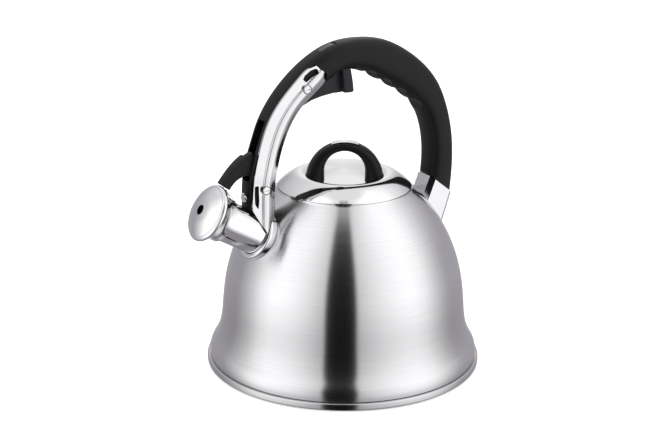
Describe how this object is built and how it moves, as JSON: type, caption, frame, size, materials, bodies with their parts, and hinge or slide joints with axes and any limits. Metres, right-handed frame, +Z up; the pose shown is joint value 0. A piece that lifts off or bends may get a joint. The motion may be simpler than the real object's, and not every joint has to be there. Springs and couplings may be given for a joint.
{
  "type": "stovetop whistling kettle",
  "caption": "Stovetop whistling kettle: steel pot, lift-off lid with a loop knob, arch handle whose trigger raises the whistle cap off the spout.",
  "frame": {"origin": "middle of the base disc's underside, where the kettle stands on the hob", "axes": "+Z up, the spout points to -X, the handle's plane is XZ and +Y is the side away from the pivot screws' heads"},
  "size_m": [0.2437, 0.22, 0.2635],
  "materials": {
    "brushed_steel": "stainless steel brushed round the pot",
    "polished_steel": "mirror-polished stainless steel",
    "plain_steel": "plain stainless steel sheet",
    "aluminium_core": "bare aluminium",
    "black_nylon": "satin black nylon",
    "gloss_inlay": "glossy dark grey",
    "spring_steel": "drawn wire"
  },
  "bodies": {
    "pot": {"body_shell": "brushed_steel", "bottom_pan": "brushed_steel", "heat_spreader": "aluminium_core", "base_disc": "plain_steel", "spout_tube": "polished_steel", "spout_collar": "polished_steel", "front_bracket": "plain_steel", "rear_bracket": "polished_steel", "rear_bracket_screw": "polished_steel", "handle_grip": "black_nylon", "handle_inlay": "gloss_inlay", "side_arm_near": "polished_steel", "side_arm_far": "polished_steel", "trigger_pivot_screw": "polished_steel", "trigger_pivot_nut": "polished_steel", "lever_pivot_screw": "polished_steel", "lever_pivot_nut": "polished_steel", "leg_screw": "polished_steel", "trigger_spring": "spring_steel"},
    "trigger": {"trigger_lever": "black_nylon"},
    "link": {"link_rod": "plain_steel"},
    "whistle": {"spout_lever": "black_nylon", "cap_tab": "polished_steel", "cap_rivet": "polished_steel", "whistle_cap": "polished_steel", "whistle_front_plate": "plain_steel", "whistle_rear_plate": "plain_steel"},
    "lid": {"lid_shell": "polished_steel", "lid_skirt": "plain_steel", "lid_knob": "black_nylon", "knob_badge": "polished_steel", "knob_screw_left": "plain_steel", "knob_screw_right": "plain_steel"}
  },
  "joints": [
    {"name": "spout_open", "type": "hinge", "parent": "pot", "child": "whistle", "pos_m": [-0.0769, 0, 0.1561], "axis": [0, 1, 0], "range_deg": [0, 30]},
    {"name": "trigger_squeeze", "type": "hinge", "parent": "pot", "child": "trigger", "pos_m": [-0.0421, 0, 0.2311], "axis": [0, -1, 0], "range_deg": [0, 20], "stiffness_Nm_per_rad": 0.4, "springref_deg": -20.05, "deforming": ["trigger_spring"]},
    {"name": "link_turn", "type": "hinge", "parent": "trigger", "child": "link", "pos_m": [-0.04868, 0, 0.23167], "axis": [0, 1, 0], "range_deg": [0, 21.5]},
    {"name": "lid_lift", "type": "slide", "parent": "pot", "child": "lid", "axis": [0, 0, 1], "range_m": [0, 0.03]}
  ],
  "couplings": [
    {"joint": "trigger_squeeze", "follows": "spout_open", "ratio": 0.66667},
    {"joint": "link_turn", "follows": "spout_open", "ratio": 0.7071}
  ]
}
